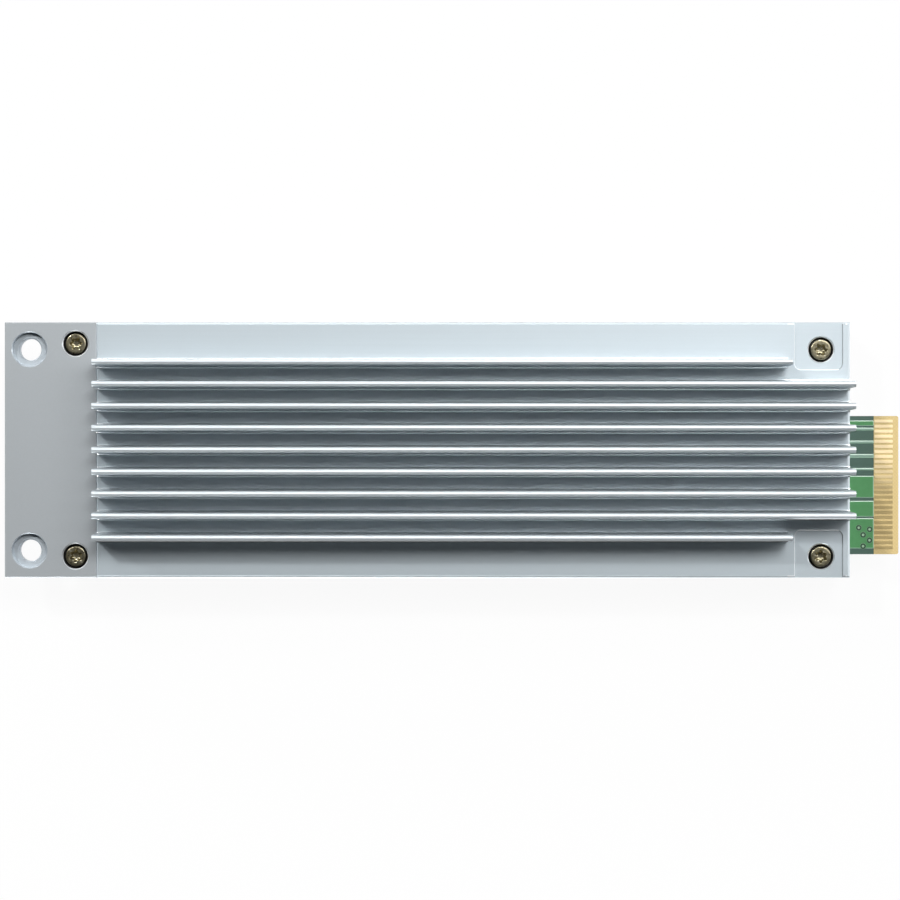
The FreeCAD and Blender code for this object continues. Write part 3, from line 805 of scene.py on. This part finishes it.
NARROW_LANES = (-3.0 * MM, 3.1 * MM)
mask_finish, tree, shader, place = new_finish(
    "solder_mask", Coat_Weight=0.5, Coat_Roughness=0.12, Roughness=0.4)
film_level = BOARD_TOP - BOARD_MIDDLE + FILM_LIFT
slope_foot = film_level + 0.1 * COPPER_STEP
slope_top = film_level + 0.9 * COPPER_STEP
rise = smooth_step(tree, height_over_board(tree, place), slope_foot, slope_top)
from_middle = calculate(tree, "ABSOLUTE", calculate(tree, "MULTIPLY_ADD", rise, 2.0, -1.0))
# The pale colour on the slopes is a painted highlight along the copper's edges.
slope_highlight = smooth_step(tree, calculate(tree, "SUBTRACT", 1.0, from_middle), 0.0, 0.6)
uneven = noise(tree, place, 1 / (0.8 * MM), 3.0)
copper_green = blend_colours(tree, uneven, (0.07, 0.27, 0.09), (0.09, 0.31, 0.115))
lane_y = axis_value(tree, place, "Y")
past_first, past_last = (smooth_step(tree, lane_y, side, side + BAND_FADE) for side in NARROW_LANES)
narrow = calculate(tree, "SUBTRACT", past_first, past_last)
copper_green = blend_colours(tree, narrow, copper_green, (0.26, 0.40, 0.32))
flat_green = blend_colours(tree, rise, (0.065, 0.13, 0.10), copper_green)
tree.links.new(blend_colours(tree, slope_highlight, flat_green, (0.52, 0.80, 0.60)), shader.inputs["Base Color"])
add_relief(tree, shader, uneven, 0.01 * MM, 0.5)
film.data.materials.append(mask_finish)
film_below.data.materials.append(mask_finish)

via_finish, tree, shader, place = new_finish("tented_hole", Coat_Weight=0.5, Roughness=0.4)
dimple_level = VIA_TOP - BOARD_MIDDLE
on_ring = smooth_step(tree, height_over_board(tree, place), dimple_level, dimple_level + 0.004 * MM)
in_dimple = calculate(tree, "SUBTRACT", 1.0, on_ring)
# The ring is painted dark as shade, and the dimple pale as a painted highlight.
speckle = blend_colours(tree, noise(tree, place, 1 / (0.1 * MM)), (0.02, 0.07, 0.035), (0.04, 0.11, 0.055))
tree.links.new(blend_colours(tree, in_dimple, speckle, (0.34, 0.52, 0.35)), shader.inputs["Base Color"])
for piece in vias:
    piece.data.materials.append(via_finish)
print("mask finished; copper stands", round(COPPER_STEP * 1e6), "micrometres high")

# %% [markdown]
# The board itself is glass cloth in resin. Past the solder mask the cloth shows as a pale tan sheet
# with a faint weave, and on the board's cut edges its layers show as fine lines. One material does
# all three by place: green where the mask covers it, bare laminate past the mask's end, and layered
# on the edges.

# %% Finish for the board
CLOTH_PITCH = 0.5 * MM
LAYER_PITCH = 0.2 * MM

board_finish, tree, shader, place = new_finish("board_laminate", Roughness=0.45, Specular_IOR_Level=0.4)
x, y, z = (axis_value(tree, place, axis) for axis in "XYZ")
warp = calculate(tree, "SINE", calculate(tree, "MULTIPLY", x, 2 * math.pi / CLOTH_PITCH))
weft = calculate(tree, "SINE", calculate(tree, "MULTIPLY", y, 2 * math.pi / CLOTH_PITCH))
cloth = calculate(tree, "MULTIPLY_ADD", calculate(tree, "MULTIPLY", warp, weft), 0.5, 0.5)
bare = blend_colours(tree, cloth, (0.64, 0.485, 0.215), (0.68, 0.525, 0.245))
green = blend_colours(tree, noise(tree, place, 1 / (0.8 * MM), 3.0), (0.07, 0.24, 0.09), (0.10, 0.30, 0.12))
layers = calculate(tree, "SINE", calculate(tree, "MULTIPLY", z, 2 * math.pi / LAYER_PITCH))
layers = calculate(tree, "MULTIPLY_ADD", layers, 0.5, 0.5)
cut_edge = blend_colours(tree, layers, (0.08, 0.13, 0.09), (0.20, 0.22, 0.12))
half = BOARD_TOP - BOARD_MIDDLE
on_face = smooth_step(tree, height_over_board(tree, place), half - 0.02 * MM, half - 0.01 * MM)
past_mask = smooth_step(tree, x, MASK_END - 0.01 * MM, MASK_END + 0.01 * MM)
covered = blend_colours(tree, on_face, cut_edge, green)
tree.links.new(blend_colours(tree, past_mask, covered, bare), shader.inputs["Base Color"])
add_relief(tree, shader, cloth, 0.004 * MM)
dress(board_finish, "circuit_board")
print("board finished")

# %% [markdown]
# The card edge has one row of gilded contacts on each side. A contact is a thin plated pad with
# rounded corners and a soft upper edge. One pad is made from a cube: its upright edges and then its
# upper edges are bevelled, and an Array modifier repeats it at the pitch that the CAD row has.

# %% The contact rows
CONTACT_COUNT = 26
CONTACT_WIDTH = 0.39 * MM
CORNER_ROUND = 0.07 * MM
UPPER_ROUND = 0.012 * MM

row_low, row_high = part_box("contacts_top")
length, height = row_high[0] - row_low[0], row_high[2] - row_low[2]
pitch = (row_high[1] - row_low[1] - CONTACT_WIDTH) / (CONTACT_COUNT - 1)
row = begin("contact_row_top", bpy.ops.mesh.primitive_cube_add, size=1)
resize((length, CONTACT_WIDTH, height))
choose(row, "EDGE", lambda middle: abs(middle.z) < height / 4)
bpy.ops.mesh.bevel(offset=CORNER_ROUND, segments=3, affect="EDGES")
choose(row, "FACE", lambda middle: middle.z > height / 2.1)
bpy.ops.mesh.select_mode(type="EDGE")
bpy.ops.mesh.region_to_loop()
bpy.ops.mesh.bevel(offset=UPPER_ROUND, segments=2, affect="EDGES")
bpy.ops.mesh.select_all(action="SELECT")
bpy.ops.transform.translate(
    value=((row_low[0] + row_high[0]) / 2, row_high[1] - CONTACT_WIDTH / 2, (row_low[2] + row_high[2]) / 2))
close_up(smooth_angle=15)
repeat = row.modifiers.new("repeat", "ARRAY")
repeat.count = CONTACT_COUNT
repeat.use_relative_offset = False
repeat.use_constant_offset = True
repeat.constant_offset_displace = (0, -pitch, 0)
bpy.ops.object.modifier_apply(modifier="repeat")
row_below = copy_of(row, "contact_row_bottom", to_underside)
fit_in(row, "contacts_top")
fit_in(row_below, "contacts_bottom")
print("pitch", round(pitch / MM, 4), "mm")

# %% [markdown]
# Gold plating over nickel is a smooth metal with fine brush lines along each pad, from the plating
# line and from being slid into a connector. Along the row its colour changes slowly from pale gold
# at one end to deeper, darker gold at the other: a painted reflection of something bright over the
# pale end. The roughness changes with it, from finely matt at the pale end to smoother at the other.

# %% Finish for the contacts
# Between these two places along the row, the painted reflection on the gold fades out.
REFLECTION_FULL_AT = 0.0
REFLECTION_GONE_AT = -6.5 * MM

gold_finish, tree, shader, place = new_finish("contact_gilding", Metallic=0.4)
reflection_fade = smooth_step(tree, calculate(tree, "MULTIPLY", axis_value(tree, place, "Y"), -1.0),
                       -REFLECTION_FULL_AT, -REFLECTION_GONE_AT)
brushed = noise(tree, place, 1.0, 2.0, stretch=(400, 30000, 30000))
bright = blend_colours(tree, brushed, (0.93, 0.75, 0.45), (1.0, 0.83, 0.53))
dull = blend_colours(tree, brushed, (0.47, 0.35, 0.15), (0.57, 0.44, 0.21))
tree.links.new(blend_colours(tree, reflection_fade, bright, dull), shader.inputs["Base Color"])
tree.links.new(calculate(tree, "MULTIPLY_ADD", reflection_fade, -0.28, 0.60), shader.inputs["Roughness"])
add_relief(tree, shader, brushed, 0.002 * MM)
for piece in (row, row_below):
    piece.data.materials.append(gold_finish)
print("contacts finished")

# %% [markdown]
# The moulded packages inside the case are black epoxy with a fine matt skin, which is never quite
# even: it varies between two dark tones. The hold-up capacitors are moulded in the same way, with
# tinned ends that bend round their bodies. They stand at even stations along X, four on each side, so
# the distance to the nearest station tells body from end for all eight pieces at once.

# %% Finishes for the moulded pieces
CAPACITOR_PITCH = 9.0 * MM
FIRST_CAPACITOR = -41.875 * MM
BODY_HALF = 3.1 * MM


def speckled_finish(name, dark, light, grain_size, roughness, relief, **values):
    """A matt finish of two tones, mixed by a fine noise that also gives its relief."""
    material, tree, shader, place = new_finish(name, Roughness=roughness, **values)
    grain = noise(tree, place, 1 / grain_size, 4.0)
    colour = blend_colours(tree, smooth_step(tree, grain, 0.35, 0.65), dark, light)
    tree.links.new(colour, shader.inputs["Base Color"])
    add_relief(tree, shader, grain, relief)
    return material, tree, shader, place, colour


def from_station(tree, place, first, pitch):
    """The distance along X to the nearest of evenly spaced stations."""
    offset = calculate(tree, "SUBTRACT", axis_value(tree, place, "X"), first)
    return calculate(tree, "ABSOLUTE", calculate(tree, "WRAP", offset, pitch / 2, -pitch / 2))


def tin_ends(tree, shader, distance, body_half, colour):
    """Adds bright tinned ends to a two-ended part."""
    tinned = smooth_step(tree, distance, body_half - 0.02 * MM, body_half + 0.02 * MM)
    tree.links.new(blend_colours(tree, tinned, colour, (0.62, 0.62, 0.60)), shader.inputs["Base Color"])
    tree.links.new(tinned, shader.inputs["Metallic"])


chip_finish = speckled_finish(
    "chip_moulding", (0.022, 0.022, 0.024), (0.038, 0.038, 0.041), 0.12 * MM, 0.55, 0.006 * MM)[0]
case_finish, tree, shader, place, colour = speckled_finish(
    "capacitor_case", (0.03, 0.026, 0.022), (0.05, 0.043, 0.035), 0.15 * MM, 0.5, 0.005 * MM)
tin_ends(tree, shader, from_station(tree, place, FIRST_CAPACITOR, CAPACITOR_PITCH), BODY_HALF, colour)
chips = [name for name in nodes if "chip" in name]
dress(chip_finish, *chips)
dress(case_finish, *[name for name in nodes if name.startswith("holdup_capacitor")])
print(len(chips), "chips dressed")

# %% [markdown]
# The small ceramic capacitors are tan blocks with tinned ends. One group runs along the module beside
# the controller, and the other across it near the card edge. The finish works out the distance along
# X for both groups and takes the one that the point's own X calls for.

# %% Finish for the small capacitors
ROW_PITCH = 1.9 * MM
ROW_MIDDLE = -23.375 * MM
EDGE_ROW = 43.385 * MM
GROUPS_PART_AT = 20 * MM
CERAMIC_HALF = 0.27 * MM

ceramic_finish, tree, shader, place, colour = speckled_finish(
    "capacitor_ceramic", (0.34, 0.22, 0.13), (0.44, 0.31, 0.20), 0.06 * MM, 0.4, 0.002 * MM)
beside_controller = from_station(tree, place, ROW_MIDDLE, ROW_PITCH)
along = axis_value(tree, place, "X")
near_edge = calculate(tree, "ABSOLUTE", calculate(tree, "SUBTRACT", along, EDGE_ROW))
in_edge_group = calculate(tree, "GREATER_THAN", along, GROUPS_PART_AT)
in_first_group = calculate(tree, "SUBTRACT", 1.0, in_edge_group)
distance = calculate(tree, "ADD", calculate(tree, "MULTIPLY", near_edge, in_edge_group),
                     calculate(tree, "MULTIPLY", beside_controller, in_first_group))
tin_ends(tree, shader, distance, CERAMIC_HALF, colour)
dress(ceramic_finish, "small_capacitors")
print("small capacitors dressed")

# %% [markdown]
# The other inner pieces each have a finish of their own. Inductors are pressed from grey metal
# powder with visible grains. The crystal's lid is drawn sheet with faint brush lines. The thermal
# pads are soft silicone full of pale filler. The light pipe is clear plastic, a little frosted, with
# a plain transmission value, and each status lamp has a milky lens.

# %% Finishes for the other inner pieces
inductor_finish = speckled_finish("inductor_body", (0.10, 0.10, 0.105), (0.20, 0.20, 0.21), 0.08 * MM, 0.6,
                                  0.01 * MM, Metallic=0.3)[0]
pad_finish = speckled_finish("pad_elastomer", (0.36, 0.42, 0.48), (0.46, 0.52, 0.58), 0.3 * MM, 0.75,
                             0.015 * MM)[0]
lens_finish = speckled_finish("lamp_lens", (0.70, 0.66, 0.48), (0.80, 0.77, 0.60), 0.2 * MM, 0.25,
                              0.003 * MM, Subsurface_Weight=0.2, Subsurface_Scale=0.0005)[0]

can_finish, tree, shader, place = new_finish("crystal_can", Metallic=1.0)
brush_lines = noise(tree, place, 1.0, 3.0, stretch=(1500, 40000, 1500))
steel = blend_colours(tree, brush_lines, (0.55, 0.55, 0.53), (0.70, 0.70, 0.68))
tree.links.new(steel, shader.inputs["Base Color"])
tree.links.new(calculate(tree, "MULTIPLY_ADD", brush_lines, 0.2, 0.2), shader.inputs["Roughness"])
add_relief(tree, shader, brush_lines, 0.001 * MM)

clear_finish, tree, shader, place = new_finish("clear_plastic", Transmission_Weight=0.5, IOR=1.49)
flow = noise(tree, place, 1 / (0.6 * MM), 2.0)
clear = blend_colours(tree, flow, (0.90, 0.92, 0.93), (0.97, 0.98, 0.98))
tree.links.new(clear, shader.inputs["Base Color"])
tree.links.new(calculate(tree, "MULTIPLY_ADD", flow, 0.1, 0.2), shader.inputs["Roughness"])
add_relief(tree, shader, flow, 0.003 * MM)

dress(inductor_finish, *[name for name in nodes if name.startswith("power_inductor")])
dress(pad_finish, *[name for name in nodes if name.startswith("thermal_pad")])
dress(lens_finish, "status_lamp_upper", "status_lamp_lower")
dress(can_finish, "clock_crystal")
dress(clear_finish, "light_pipe")
print("all inner pieces dressed")
